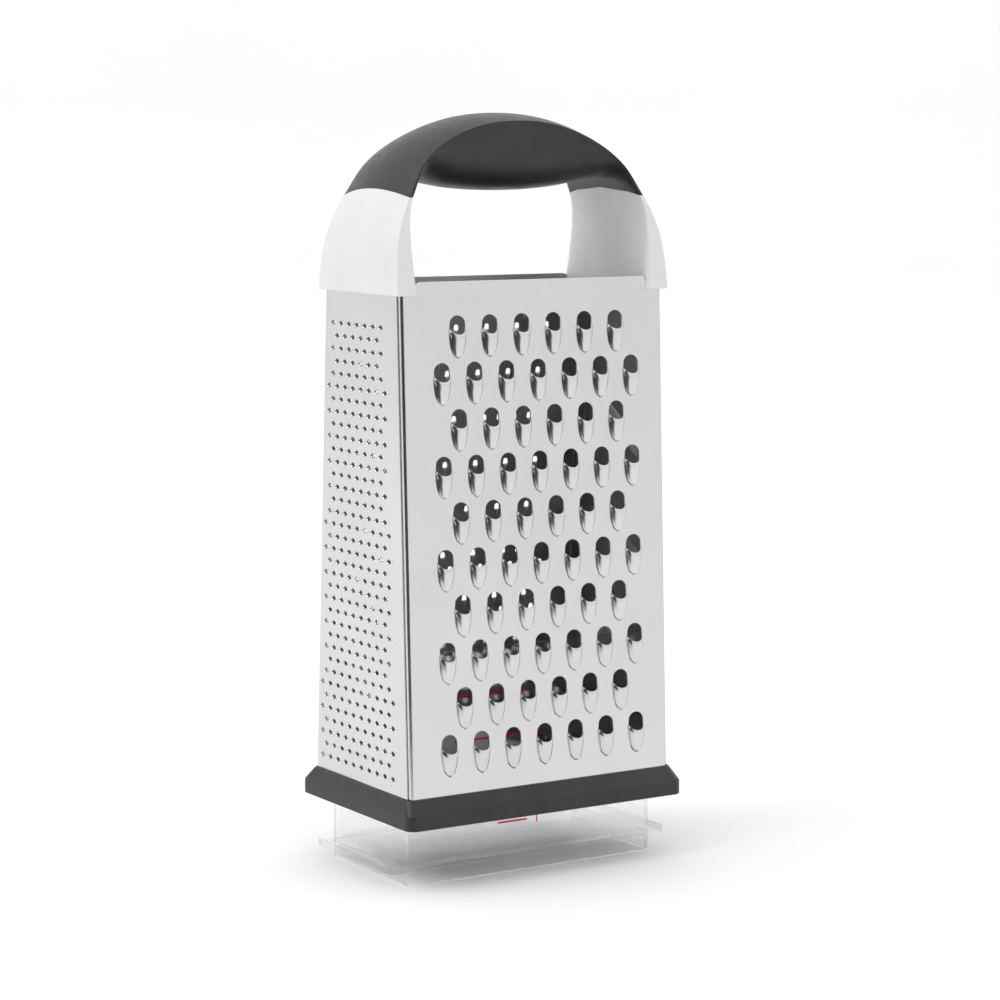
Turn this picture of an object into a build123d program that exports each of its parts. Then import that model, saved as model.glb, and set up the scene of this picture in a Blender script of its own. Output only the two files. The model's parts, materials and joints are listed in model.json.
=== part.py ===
# Four-sided box grater standing on its clear container.
# Millimetres, +Z up. The origin is the middle of the footprint, on the surface it stands on.
# The coarse face looks towards -Y, the fine face towards -X, the slicing face towards +X.
from build123d import *
from math import atan, cos, floor, pi, sin
import os

os.makedirs("parts", exist_ok=True)

# Steel body
body_width = 110.0          # outside, the same from base to collar
depth_at_base = 66.3        # outside, where the sheets leave the foot ring
depth_at_collar = 51.3      # outside, where they go under the collars
base_top_z = 32.5           # top of the foot ring
collar_z = 205.8            # lower edge of the collars
sheet = 0.6
bend_radius = 1.6
flange_depth = 7.0          # folded edge of the wide sheets, behind the narrow ones
base_insert = 5.0           # steel hidden in the base
collar_insert = 1.2         # wide sheets' shoulders hidden under the collars
side_insert = 9.0           # narrow sheets' tops hidden in the arms
tongue_inset = 6.0          # wide sheets between the collars are this much narrower at each side
tongue_top_z = 210.4
tongue_corner = 3.5

# Coarse teeth
coarse_top_z = 195.4        # first row's hole centres
coarse_rows = 10
coarse_row_pitch = 16.1
coarse_pitch = 13.2
coarse_margin = 14.5        # plain steel at each side; a row has as many teeth as fit between
coarse_shift = 1.2          # rows sit a little to the right
coarse_half_width = 3.3
coarse_rise = 2.3
coarse_drop = 2.6           # hole centre down to the cutting edge's ends
coarse_lag = 1.2            # the cutting edge's crown lies this much lower
coarse_length = 8.8         # cutting edge to the scoop's tip
scoop_wall = 0.5
scoop_sides = 3             # facets of a hood's arch and of a hole's top

# Medium teeth
medium_top_z = 196.0
medium_rows = 12
medium_row_pitch = 12.7
medium_pitch = 10.0
medium_margin = 15.0
medium_half_width = 2.2
medium_height = 3.8

# Fine teeth
fine_top_z = 194.4
fine_rows = 36
fine_row_pitch = 4.47
fine_pitch = 5.5
fine_width_top = 36.7       # width that the first row may fill
fine_width_bottom = 52.8
fine_shift = 2.4            # rows sit a little towards the back
fine_length = 2.7
fine_height = 2.2

# Slicing slots
slot_count = 3
slot_top_z = 157.0
slot_pitch = 41.0
slot_length = 36.0
slot_height = 3.0
slot_slope = 33.0           # degrees
blade_rise = 2.0
blade_run = 5.0
blade_inset = 1.5
blade_end_angle = 70.0      # degrees

# Handle
collar_overhang = 1.3       # the collars stand out from the steel, at the narrow sides
collar_cover = 1.75         # and at the wide sides
handle_height = 59.4        # collars' lower edge to the crest
arch_crown = 3.0
arch_corner = 1.2
arch_thickness = 6.5
crown_sides = 4
arch_shares = [             # x of the half width, z of the height, half depth, crown; from the collar up
    (1.000, 0.000, 1.000, 0.20), (0.995, 0.138, 0.967, 0.33), (0.973, 0.306, 0.920, 0.60),
    (0.941, 0.407, 0.883, 0.80), (0.902, 0.492, 0.850, 0.93), (0.849, 0.584, 0.807, 1.00),
    (0.737, 0.747, 0.730, 1.00), (0.551, 0.879, 0.657, 0.97), (0.284, 0.973, 0.628, 0.93),
    (0.000, 1.000, 0.620, 0.93),
]
arm_shares = [              # x, z from the opening's top corner down the arms' inner faces
    (0.675, 0.670), (0.728, 0.663), (0.771, 0.640), (0.803, 0.593), (0.833, 0.525), (0.858, 0.424),
    (0.876, 0.273), (0.885, 0.054),
]
split_share = 0.559         # height at the arms' edges: white arms below, black grip above
split_depth_share = 0.81    # where that is
split_rise = 2.7            # the parting line arches this much over the arm's middle
split_sides = 6
belly_shares = [            # x, lowest z, widest z and half depth of the belly's cross-sections
    (0.000, 0.588, 0.870, 0.599), (0.213, 0.593, 0.859, 0.599), (0.409, 0.609, 0.820, 0.591),
    (0.568, 0.636, 0.769, 0.547), (0.710, 0.680, 0.714, 0.401),
]
belly_sides = 8
belly_seat = 2.0            # how far its top is sunk in the arch
core_outer = 0.2            # bar inside the grip, measured out from the arch's edge line
core_thickness = 1.6
core_start_share = 0.441    # height where the bar starts
core_half_depth = 8.0

# Base
ring_bottom_z = 22.6
ring_band = 5.0             # height of its upright lower band
ring_side_wall = 1.9        # rubber outside the frame
ring_front_wall = 3.9
ring_corner = 4.0
ring_lip = 0.8              # its top edge beside the steel
ring_cover = 2.0            # rubber over the frame's top
frame_wall = 1.2
frame_web = 2.0             # frame below the sheets' lower edges
frame_clearance = 0.5       # round the container's mouth

# Container and lid
container_side_gap = 3.1    # steel's outside to the container's
container_front_gap = 6.55
foot_corner = 1.6
container_top_z = 82.0
container_wall = 1.2
container_floor = 1.2
rib_height = 1.5
rib_under_frame = 1.4       # the rib reaches this far under the frame
lid_skirt = 5.5
lid_plate = 1.2
lid_wall = 1.2
tab_thickness = 1.5
tab_reach = 7.2
tab_lip = 1.5               # the tabs' ends turn up this much
tab_corner = 4.0

overrun = 1.0               # how far a cut runs past what it cuts

lean_slope = (depth_at_base - depth_at_collar) / 2 / (collar_z - base_top_z)
lean = atan(lean_slope)
tongue_width = body_width - 2 * tongue_inset
foot_width = body_width - 2 * container_side_gap        # the container and its lid
foot_depth = depth_at_base - 2 * container_front_gap
handle_half_width = body_width / 2 + collar_overhang
handle_half_depth = depth_at_collar / 2 + collar_cover
split_z = collar_z + split_share * handle_height
sheet_bottom_z = base_top_z - base_insert
frame_bottom_z = sheet_bottom_z - frame_web
frame_top_z = base_top_z - ring_cover
wide_top_z = collar_z + collar_insert
side_top_z = collar_z + side_insert


def half_depth(z):
    """Outside of the leaning sheets at a height."""
    return depth_at_base / 2 - (z - base_top_z) * lean_slope


def up_sheet(z):
    """Distance up a leaning sheet, from its lower edge to a height."""
    return (z - sheet_bottom_z) / cos(lean)


# Planes on the outside of the four sheets, x to the viewer's right, y up, z outwards
front_plane = Plane((0, -half_depth(sheet_bottom_z), sheet_bottom_z), (1, 0, 0), (0, -cos(lean), sin(lean)))
back_plane = Plane((0, half_depth(sheet_bottom_z), sheet_bottom_z), (-1, 0, 0), (0, cos(lean), sin(lean)))
left_plane = Plane((-body_width / 2, 0, sheet_bottom_z), (0, -1, 0), (-1, 0, 0))
right_plane = Plane((body_width / 2, 0, sheet_bottom_z), (0, 1, 0), (1, 0, 0))


def staggered_row(index, pitch, width):
    """Places across one row, every second row moved by half a pitch."""
    if index % 2:
        half = floor(width / 2 / pitch)
        return [k * pitch for k in range(-half, half + 1)]
    half = floor(width / 2 / pitch + 0.5)
    return [(k + 0.5) * pitch for k in range(-half, half)]


def folded_sheet(plane):
    """A wide sheet with its long edges folded back, and the tongue between the collars."""
    half_width = body_width / 2 - sheet
    low_plane = plane.offset(0).shift_origin(plane.from_local_coords((0, -flange_depth, 0)))
    with BuildPart() as blank:
        with BuildSketch(Plane(low_plane.origin, plane.x_dir, plane.y_dir)):
            with BuildLine():
                FilletPolyline(
                    (-half_width, flange_depth), (-half_width, 0), (half_width, 0), (half_width, flange_depth),
                    radius=bend_radius,
                )
                offset(amount=sheet, side=Side.LEFT)
            make_face()
        extrude(amount=up_sheet(tongue_top_z) + 2 * flange_depth)
        with BuildSketch(Plane.XZ):
            with Locations((0, sheet_bottom_z)):
                Rectangle(body_width, wide_top_z - sheet_bottom_z, align=(Align.CENTER, Align.MIN))
            with Locations((0, wide_top_z - 2 * tongue_corner)):
                RectangleRounded(
                    tongue_width, tongue_top_z - wide_top_z + 2 * tongue_corner, tongue_corner,
                    align=(Align.CENTER, Align.MIN),
                )
        extrude(amount=depth_at_base, both=True, mode=Mode.INTERSECT)
    return blank.part


def side_outline():
    """Corners of a narrow sheet, a trapezoid that stops short of the bends."""
    low = half_depth(sheet_bottom_z) - bend_radius
    high = half_depth(side_top_z) - bend_radius
    top = side_top_z - sheet_bottom_z
    return [(-low, 0), (low, 0), (high, top), (-high, top)]


# Coarse tooth, at its hole's centre on the sheet's outside
coarse_mouth_angle = atan(coarse_lag / coarse_rise)
coarse_mouth_plane = Plane(
    (0, -coarse_drop, 0), (1, 0, 0), (0, -cos(coarse_mouth_angle), -sin(coarse_mouth_angle))
)
coarse_rise_along = coarse_rise / cos(coarse_mouth_angle)


def scoop(half_width, rise, back, tip_y, tip_z):
    """A half cone from the cutting edge's outline down to its tip."""
    with BuildSketch(coarse_mouth_plane) as mouth:
        with BuildLine():
            arch = [
                (half_width * cos(pi * k / scoop_sides), rise * sin(pi * k / scoop_sides) / sin(pi / scoop_sides))
                for k in range(scoop_sides + 1)
            ]
            Polyline((half_width, -back), *arch, (-half_width, -back), close=True)
        make_face()
    with BuildPart() as cone:
        loft(sections=[mouth.sketch, Vertex(0, tip_y, tip_z)], ruled=True)
    return cone.part


coarse_hood = scoop(coarse_half_width, coarse_rise_along, sheet, -coarse_drop - coarse_length, -sheet / 2)
coarse_hollow = scoop(
    coarse_half_width - scoop_wall, coarse_rise_along - scoop_wall, sheet + overrun,
    -coarse_drop - coarse_length + 2 * scoop_wall, -sheet - overrun,
)

with BuildPart() as coarse_hole:
    with BuildSketch(Plane.XY.offset(-sheet - overrun)):
        with BuildLine():
            dome = [
                (coarse_half_width * cos(pi * k / scoop_sides), coarse_half_width * sin(pi * k / scoop_sides))
                for k in range(scoop_sides + 1)
            ]
            Polyline((coarse_half_width, -coarse_drop), *dome, (-coarse_half_width, -coarse_drop), close=True)
        make_face()
    extrude(amount=sheet + 2 * overrun)

coarse_places = [
    (x + coarse_shift, up_sheet(coarse_top_z - row * coarse_row_pitch), 0)
    for row in range(coarse_rows)
    for x in staggered_row(row, coarse_pitch, body_width - 2 * coarse_margin)
]

with BuildPart(front_plane) as coarse_panel:
    add(folded_sheet(front_plane).moved(front_plane.location.inverse()))
    with Locations(*coarse_places):
        add(coarse_hood)
    with Locations(*coarse_places):
        add(coarse_hollow, mode=Mode.SUBTRACT)
    with Locations(*coarse_places):
        add(coarse_hole.part, mode=Mode.SUBTRACT)
coarse_panel.part.label = "coarse_panel"
export_step(coarse_panel.part, "parts/coarse_panel.step")

# Medium teeth: small pierced triangles, point up
medium_places = [
    (x, up_sheet(medium_top_z - row * medium_row_pitch))
    for row in range(medium_rows)
    for x in staggered_row(row, medium_pitch, body_width - 2 * medium_margin)
]
with BuildPart() as medium_panel:
    add(folded_sheet(back_plane))
    with BuildSketch(back_plane.offset(overrun)):
        with Locations(*medium_places):
            Polygon((-medium_half_width, 0), (medium_half_width, 0), (0, medium_height))
    extrude(amount=-sheet - 2 * overrun, mode=Mode.SUBTRACT)
medium_panel.part.label = "medium_panel"
export_step(medium_panel.part, "parts/medium_panel.step")

# Fine teeth: pierced triangles, point towards the coarse face, in rows that widen downwards
fine_places = [
    (x - fine_shift, fine_top_z - row * fine_row_pitch - sheet_bottom_z)
    for row in range(fine_rows)
    for x in staggered_row(
        row + 1, fine_pitch, fine_width_top + (fine_width_bottom - fine_width_top) * row / (fine_rows - 1)
    )
]
with BuildPart() as fine_panel:
    with BuildSketch(left_plane):
        Polygon(*side_outline(), align=None)
        with Locations(*fine_places):
            Polygon(
                (-fine_length / 2, -fine_height / 2), (fine_length / 2, 0), (-fine_length / 2, fine_height / 2),
                align=None, mode=Mode.SUBTRACT,
            )
    extrude(amount=-sheet)
fine_panel.part.label = "fine_panel"
export_step(fine_panel.part, "parts/fine_panel.step")

# Slicing face: slanted slots, each with its lower edge raised into a blade
with BuildPart() as blade:
    with BuildSketch(Plane.YZ):
        with BuildLine():
            Polyline(
                (-blade_run, 0), (0, blade_rise), (0, blade_rise - sheet), (-blade_run + sheet, -sheet),
                (-blade_run, -sheet), close=True,
            )
        make_face()
    extrude(amount=slot_length / 2, both=True)
    with BuildSketch(Plane.XY):
        with Locations((0, -blade_run)):
            Trapezoid(slot_length, blade_run + overrun, blade_end_angle, align=(Align.CENTER, Align.MIN))
    extrude(amount=blade_run, both=True, mode=Mode.INTERSECT)

slot_heights = [slot_top_z - sheet_bottom_z - k * slot_pitch for k in range(slot_count)]
with BuildPart() as slicer_panel:
    with BuildSketch(right_plane):
        Polygon(*side_outline(), align=None)
        with Locations(*[Location((0, y, 0), (0, 0, slot_slope)) for y in slot_heights]):
            with Locations((0, (slot_height - blade_run) / 2)):
                Rectangle(slot_length - 2 * blade_inset, slot_height + blade_run, mode=Mode.SUBTRACT)
    extrude(amount=-sheet)
    with Locations(*[right_plane.location * Location((0, y, 0), (0, 0, slot_slope)) for y in slot_heights]):
        add(blade.part)
slicer_panel.part.label = "slicer_panel"
export_step(slicer_panel.part, "parts/slicer_panel.step")

# Handle: one crowned arch, from collar over the top to collar. It is white below the split and black above.
def handle_point(x_share, z_share):
    """A point of the handle's front view."""
    return (x_share * handle_half_width, collar_z + z_share * handle_height)


arch_steps = [(-x, z, depth, crown) for x, z, depth, crown in arch_shares] + list(reversed(arch_shares[:-1]))
arch_line = [handle_point(x, z) for x, z, depth, crown in arch_steps]


def arch_normal(index):
    """Outward direction of the arch's edge line at one of its steps."""
    if index in (0, len(arch_line) - 1):
        return (-1 if index == 0 else 1, 0)
    (x0, z0), (x1, z1) = arch_line[index - 1], arch_line[index + 1]
    length = ((x1 - x0) ** 2 + (z1 - z0) ** 2) ** 0.5
    return (-(z1 - z0) / length, (x1 - x0) / length)


def arch_section(index):
    """Cross-section of the arch: flat inside, rounded corners, crowned outside."""
    (x, z), (nx, nz) = arch_line[index], arch_normal(index)
    half, rise = arch_steps[index][2] * handle_half_depth, arch_steps[index][3] * arch_crown
    crown = [
        ((half - arch_corner) * (1 - 2 * k / crown_sides), rise * (1 - (1 - 2 * k / crown_sides) ** 2))
        for k in range(crown_sides + 1)
    ]
    with BuildSketch(Plane((x, 0, z), (0, 1, 0), (nz, 0, -nx))) as outline:
        Polygon(
            (half, -arch_corner), *crown, (-half, -arch_corner), (-half, -arch_thickness), (half, -arch_thickness),
            align=None,
        )
    return outline.sketch


with BuildPart() as arch:
    loft(sections=[arch_section(index) for index in range(len(arch_line))], ruled=True)

arm_line = [handle_point(x, z) for x, z in arm_shares]
with BuildPart() as opening:
    with BuildSketch(Plane.XZ):
        Polygon(
            *arm_line, (arm_line[-1][0], collar_z - overrun), (-arm_line[-1][0], collar_z - overrun),
            *[(-x, z) for x, z in reversed(arm_line)], align=None,
        )
    extrude(amount=depth_at_base, both=True)

# Everything under the parting line
with BuildPart() as under_split:
    steps = [1 - 2 * k / split_sides for k in range(split_sides + 1)]
    parting_line = [
        (step * handle_half_depth, split_z + split_rise * (1 - (step / split_depth_share) ** 2)) for step in steps
    ]
    with BuildSketch(Plane.YZ):
        Polygon(
            *parting_line, (-handle_half_depth, collar_z - overrun), (handle_half_depth, collar_z - overrun),
            align=None,
        )
    extrude(amount=body_width, both=True)

# Thin bar that joins the white arms inside the grip, along the arch
core_steps = [index for index in range(len(arch_steps)) if arch_steps[index][1] > core_start_share]
core_line = [
    [(arch_line[i][0] + level * arch_normal(i)[0], arch_line[i][1] + level * arch_normal(i)[1]) for i in core_steps]
    for level in (core_outer, core_outer - core_thickness)
]
with BuildPart() as core:
    with BuildSketch(Plane.XZ):
        Polygon(*core_line[0], *reversed(core_line[1]), align=None)
    extrude(amount=core_half_depth, both=True)

with BuildPart() as handle_frame:
    add(arch.part)
    add(opening.part, mode=Mode.SUBTRACT)
    add(under_split.part, mode=Mode.INTERSECT)
    add(core.part)
    # seats for the sheets
    with BuildSketch(Plane.YZ):
        with BuildLine():
            Polyline(
                (-half_depth(collar_z - overrun), collar_z - overrun), (-half_depth(wide_top_z), wide_top_z),
                (half_depth(wide_top_z), wide_top_z), (half_depth(collar_z - overrun), collar_z - overrun), close=True,
            )
        make_face()
    extrude(amount=body_width / 2, both=True, mode=Mode.SUBTRACT)
    for plane in (left_plane, right_plane):
        with BuildSketch(plane):
            Polygon(*side_outline(), align=None)
        extrude(amount=-sheet, mode=Mode.SUBTRACT)
handle_frame.part.label = "handle_frame"
export_step(handle_frame.part, "parts/handle_frame.step")

# Black grip moulded round the bar, with a belly under the arch
def belly_section(index, side):
    """Cross-section of the belly: a round underside, its top hidden in the arch."""
    x_share, low_share, wide_share, depth_share = belly_shares[index]
    (x, low), wide = handle_point(x_share, low_share), collar_z + wide_share * handle_height
    half = depth_share * handle_half_depth
    under = [
        (half * cos(pi * k / belly_sides), wide - (wide - low) * sin(pi * k / belly_sides))
        for k in range(belly_sides + 1)
    ]
    with BuildSketch(Plane.YZ.offset(side * x)) as outline:
        Polygon(*under, (-half, wide + belly_seat), (half, wide + belly_seat), align=None)
    return outline.sketch


belly_steps = [(k, -1) for k in reversed(range(len(belly_shares)))] + [(k, 1) for k in range(1, len(belly_shares))]
with BuildPart() as handle_grip:
    add(arch.part)
    add(opening.part, mode=Mode.SUBTRACT)
    add(under_split.part, mode=Mode.SUBTRACT)
    loft(sections=[belly_section(k, side) for k, side in belly_steps], ruled=True)
    add(core.part, mode=Mode.SUBTRACT)
handle_grip.part.label = "handle_grip"
export_step(handle_grip.part, "parts/handle_grip.step")

# Hard frame inside the foot: a groove for the sheets, and an opening for the container
opening_half_width = foot_width / 2 + frame_clearance
opening_half_depth = foot_depth / 2 + frame_clearance
frame_half_width = body_width / 2 + frame_wall
frame_half_depth = half_depth(sheet_bottom_z) + frame_wall
ring_width = 2 * (frame_half_width + ring_side_wall)
ring_depth = 2 * (frame_half_depth + ring_front_wall)
with BuildSketch() as groove_core:
    Rectangle(body_width - 4 * sheet, 2 * (half_depth(frame_top_z) - sheet))
    chamfer(groove_core.vertices(), bend_radius)
with BuildPart() as base_frame:
    with BuildSketch(Plane.XY.offset(frame_bottom_z)):
        Rectangle(2 * frame_half_width, 2 * frame_half_depth)
    extrude(amount=frame_top_z - frame_bottom_z)
    with BuildSketch(Plane.XY.offset(sheet_bottom_z)):
        Rectangle(body_width, 2 * half_depth(sheet_bottom_z))
        add(groove_core.sketch, mode=Mode.SUBTRACT)
    extrude(amount=frame_top_z - sheet_bottom_z, mode=Mode.SUBTRACT)
    with BuildSketch(Plane.XY.offset(frame_bottom_z)):
        Rectangle(2 * opening_half_width, 2 * opening_half_depth)
    extrude(amount=frame_top_z - frame_bottom_z, mode=Mode.SUBTRACT)
base_frame.part.label = "base_frame"
export_step(base_frame.part, "parts/base_frame.step")

# Soft ring round the frame: upright band below, sloping in to the steel above
def ring_profile(half_width, half_top):
    """Front or side view of the ring: its band, and the slope above it."""
    Polygon(
        (-half_width, ring_bottom_z), (half_width, ring_bottom_z), (half_width, ring_bottom_z + ring_band),
        (half_top, base_top_z), (-half_top, base_top_z), (-half_width, ring_bottom_z + ring_band), align=None,
    )


with BuildPart() as base_ring:
    with BuildSketch(Plane.XY.offset(ring_bottom_z)):
        RectangleRounded(ring_width, ring_depth, ring_corner)
    extrude(amount=base_top_z - ring_bottom_z)
    with BuildSketch(Plane.XZ):
        ring_profile(ring_width / 2, body_width / 2 + ring_lip)
    extrude(amount=ring_depth, both=True, mode=Mode.INTERSECT)
    with BuildSketch(Plane.YZ):
        ring_profile(ring_depth / 2, half_depth(base_top_z) + ring_lip)
    extrude(amount=ring_width, both=True, mode=Mode.INTERSECT)
    with BuildSketch(Plane.XY.offset(ring_bottom_z)):
        Rectangle(2 * frame_half_width, 2 * frame_half_depth)
    extrude(amount=frame_top_z - ring_bottom_z, mode=Mode.SUBTRACT)
    with BuildSketch(Plane.XY.offset(frame_top_z)):
        Rectangle(body_width, 2 * half_depth(frame_top_z))
    extrude(amount=base_top_z - frame_top_z, mode=Mode.SUBTRACT)
base_ring.part.label = "base_ring"
export_step(base_ring.part, "parts/base_ring.step")

# Clear container, mouth up, with the rib that carries the frame
lid_top_z = lid_skirt + lid_plate


def foot_outline(inset):
    """The container's plan, shrunk all round."""
    RectangleRounded(foot_width - 2 * inset, foot_depth - 2 * inset, foot_corner - inset)


with BuildPart() as container:
    with BuildSketch(Plane.XY.offset(lid_top_z)):
        foot_outline(0)
    extrude(amount=container_top_z - lid_top_z)
    with BuildSketch(Plane.XY.offset(frame_bottom_z - rib_height)):
        Rectangle(2 * (opening_half_width + rib_under_frame), 2 * (opening_half_depth + rib_under_frame))
    extrude(amount=rib_height)
    with BuildSketch(Plane.XY.offset(lid_top_z + container_floor)):
        foot_outline(container_wall)
    extrude(amount=container_top_z - lid_top_z, mode=Mode.SUBTRACT)
container.part.label = "container"
export_step(container.part, "parts/container.step")

# Lid under the container: a plate with a skirt below and a tab at each end
with BuildPart() as container_lid:
    with BuildSketch():
        foot_outline(0)
    extrude(amount=lid_top_z)
    with BuildSketch():
        foot_outline(lid_wall)
    extrude(amount=lid_skirt, mode=Mode.SUBTRACT)
    with BuildSketch(Plane.XY.offset(lid_top_z - tab_thickness)):
        RectangleRounded(foot_width + 2 * tab_reach, foot_depth, tab_corner)
        Rectangle(foot_width - 2 * foot_corner, foot_depth - 2 * foot_corner, mode=Mode.SUBTRACT)
    extrude(amount=tab_thickness)
    with BuildSketch(Plane.XY.offset(lid_top_z)):
        RectangleRounded(foot_width + 2 * tab_reach, foot_depth, tab_corner)
        Rectangle(foot_width + 2 * (tab_reach - tab_thickness), foot_depth, mode=Mode.SUBTRACT)
    extrude(amount=tab_lip)
container_lid.part.label = "container_lid"
export_step(container_lid.part, "parts/container_lid.step")
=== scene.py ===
import bmesh
import bpy
import json
from math import atan, copysign, cos, floor, pi, radians, sin
from mathutils import Matrix, Vector


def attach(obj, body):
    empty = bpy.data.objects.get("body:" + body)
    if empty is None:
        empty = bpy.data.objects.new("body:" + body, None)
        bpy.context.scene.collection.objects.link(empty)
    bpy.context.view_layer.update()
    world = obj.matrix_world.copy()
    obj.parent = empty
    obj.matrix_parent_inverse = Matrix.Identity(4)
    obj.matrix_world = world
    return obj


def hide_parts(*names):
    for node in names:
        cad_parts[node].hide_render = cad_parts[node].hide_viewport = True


# Box grater on its clear container.
# Sizes are in millimetres until a piece is finished; the stage is in metres.
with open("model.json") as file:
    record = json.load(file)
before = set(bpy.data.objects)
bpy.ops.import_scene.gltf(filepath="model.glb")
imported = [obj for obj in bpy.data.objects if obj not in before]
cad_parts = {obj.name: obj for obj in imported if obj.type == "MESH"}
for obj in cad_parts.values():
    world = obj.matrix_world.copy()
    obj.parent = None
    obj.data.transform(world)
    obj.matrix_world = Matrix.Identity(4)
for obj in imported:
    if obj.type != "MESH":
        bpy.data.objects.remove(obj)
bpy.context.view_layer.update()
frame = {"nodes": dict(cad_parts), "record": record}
scene = bpy.context.scene
MM = 0.001
UP = (0.0, 0.0, 1.0)


# Materials

NOISE_LOW, NOISE_HIGH, NOISE_DETAIL = 0.3, 0.7, 3.0     # the noise keeps mostly between the two
ROLLED_GRAIN = (9.0, 9.0, 0.5)                          # fine across the sheet, long up it


def finish(name, roughness, metallic=0.0, **sockets):
    """A material whose constant values sit on the shader's own sockets."""
    material = bpy.data.materials.new(name)
    material.use_nodes = True
    shader = material.node_tree.nodes["Principled BSDF"]
    shader.inputs["Roughness"].default_value = roughness
    shader.inputs["Metallic"].default_value = metallic
    for socket, value in sockets.items():
        shader.inputs[socket.replace("_", " ")].default_value = value
    return material


def surface_noise(material, scale, stretch=(1.0, 1.0, 1.0)):
    """Noise on the object's own coordinates, stretched along its axes."""
    tree = material.node_tree
    place = tree.nodes.new("ShaderNodeTexCoord")
    mapping = tree.nodes.new("ShaderNodeMapping")
    noise = tree.nodes.new("ShaderNodeTexNoise")
    mapping.inputs["Scale"].default_value = stretch
    noise.inputs["Scale"].default_value = scale
    noise.inputs["Detail"].default_value = NOISE_DETAIL
    tree.links.new(place.outputs["Object"], mapping.inputs["Vector"])
    tree.links.new(mapping.outputs["Vector"], noise.inputs["Vector"])
    return noise.outputs["Fac"]


def vary_colour(material, noise, dark, light):
    """Lets the base colour drift between two close colours."""
    tree = material.node_tree
    ramp = tree.nodes.new("ShaderNodeValToRGB")
    stops = zip(ramp.color_ramp.elements, (NOISE_LOW, NOISE_HIGH), (dark, light))
    for stop, place, colour in stops:
        stop.position = place
        stop.color = (*colour, 1.0)
    tree.links.new(noise, ramp.inputs["Fac"])
    tree.links.new(ramp.outputs["Color"], tree.nodes["Principled BSDF"].inputs["Base Color"])


def vary_roughness(material, noise, low, high):
    """Lets the roughness drift between two values."""
    tree = material.node_tree
    span = tree.nodes.new("ShaderNodeMapRange")
    span.inputs["From Min"].default_value = NOISE_LOW
    span.inputs["From Max"].default_value = NOISE_HIGH
    span.inputs["To Min"].default_value = low
    span.inputs["To Max"].default_value = high
    tree.links.new(noise, span.inputs["Value"])
    tree.links.new(span.outputs["Result"], tree.nodes["Principled BSDF"].inputs["Roughness"])


def texture_relief(material, noise, strength, distance):
    """Adds the finish's own fine relief."""
    tree = material.node_tree
    bump = tree.nodes.new("ShaderNodeBump")
    bump.inputs["Strength"].default_value = strength
    bump.inputs["Distance"].default_value = distance
    tree.links.new(noise, bump.inputs["Height"])
    tree.links.new(bump.outputs["Normal"], tree.nodes["Principled BSDF"].inputs["Normal"])


def rolled_steel():
    """The sheets' bright outer side."""
    bright = finish("rolled_steel", 0.22, metallic=1.0)
    grain = surface_noise(bright, 240.0, stretch=ROLLED_GRAIN)
    drift = surface_noise(bright, 22.0)
    vary_colour(bright, drift, (0.625, 0.625, 0.63), (0.665, 0.665, 0.665))
    vary_roughness(bright, grain, 0.19, 0.27)
    texture_relief(bright, grain, 0.05, 0.05 * MM)
    return bright


def inner_steel():
    """The sheets' inner side: rougher than the outside, and darker in colour as painted shade
    for the inside of the body.
    """
    dull_and_shaded = finish("inner_steel", 0.45, metallic=1.0)
    # painted shade: this darker base colour stands in for the shade inside the body; only the
    # higher roughness is the steel's own
    vary_colour(dull_and_shaded, surface_noise(dull_and_shaded, 30.0), (0.40, 0.40, 0.405), (0.48, 0.48, 0.485))
    vary_roughness(dull_and_shaded, surface_noise(dull_and_shaded, 200.0, stretch=ROLLED_GRAIN), 0.38, 0.52)
    return dull_and_shaded


def white_moulding():
    """The arms' faintly grained plastic."""
    plain = finish("white_moulding", 0.34, Specular_IOR_Level=0.45)
    vary_colour(plain, surface_noise(plain, 60.0), (0.63, 0.625, 0.62), (0.665, 0.66, 0.655))
    vary_roughness(plain, surface_noise(plain, 900.0), 0.30, 0.40)
    texture_relief(plain, surface_noise(plain, 1400.0), 0.10, 0.04 * MM)
    return plain


def soft_black_rubber():
    """The grip's and the foot ring's soft, matt black."""
    soft = finish("soft_black_rubber", 0.46)
    vary_colour(soft, surface_noise(soft, 70.0), (0.008, 0.008, 0.010), (0.014, 0.014, 0.017))
    vary_roughness(soft, surface_noise(soft, 300.0), 0.36, 0.46)
    texture_relief(soft, surface_noise(soft, 2200.0), 0.25, 0.06 * MM)
    return soft


def hard_black_plastic():
    """The base frame, inside the foot ring."""
    hard = finish("hard_black_plastic", 0.4)
    vary_colour(hard, surface_noise(hard, 90.0), (0.025, 0.025, 0.028), (0.035, 0.035, 0.038))
    vary_roughness(hard, surface_noise(hard, 600.0), 0.36, 0.46)
    return hard


def clear_plastic():
    """The container and its lid."""
    glassy = finish("clear_plastic", 0.03, Transmission_Weight=1.0, IOR=1.49, Alpha=0.34)
    drift = surface_noise(glassy, 25.0)
    vary_colour(glassy, drift, (0.975, 0.982, 0.985), (0.99, 0.995, 0.996))
    vary_roughness(glassy, surface_noise(glassy, 120.0), 0.01, 0.05)
    texture_relief(glassy, surface_noise(glassy, 60.0), 0.02, 0.03 * MM)
    return glassy


def red_scale_print():
    """The ink of the measuring scale."""
    ink = finish("red_scale_print", 0.5)
    vary_colour(ink, surface_noise(ink, 900.0), (0.55, 0.02, 0.02), (0.68, 0.05, 0.05))
    vary_roughness(ink, surface_noise(ink, 500.0), 0.45, 0.6)
    return ink


steel, white, rubber = rolled_steel(), white_moulding(), soft_black_rubber()
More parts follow.
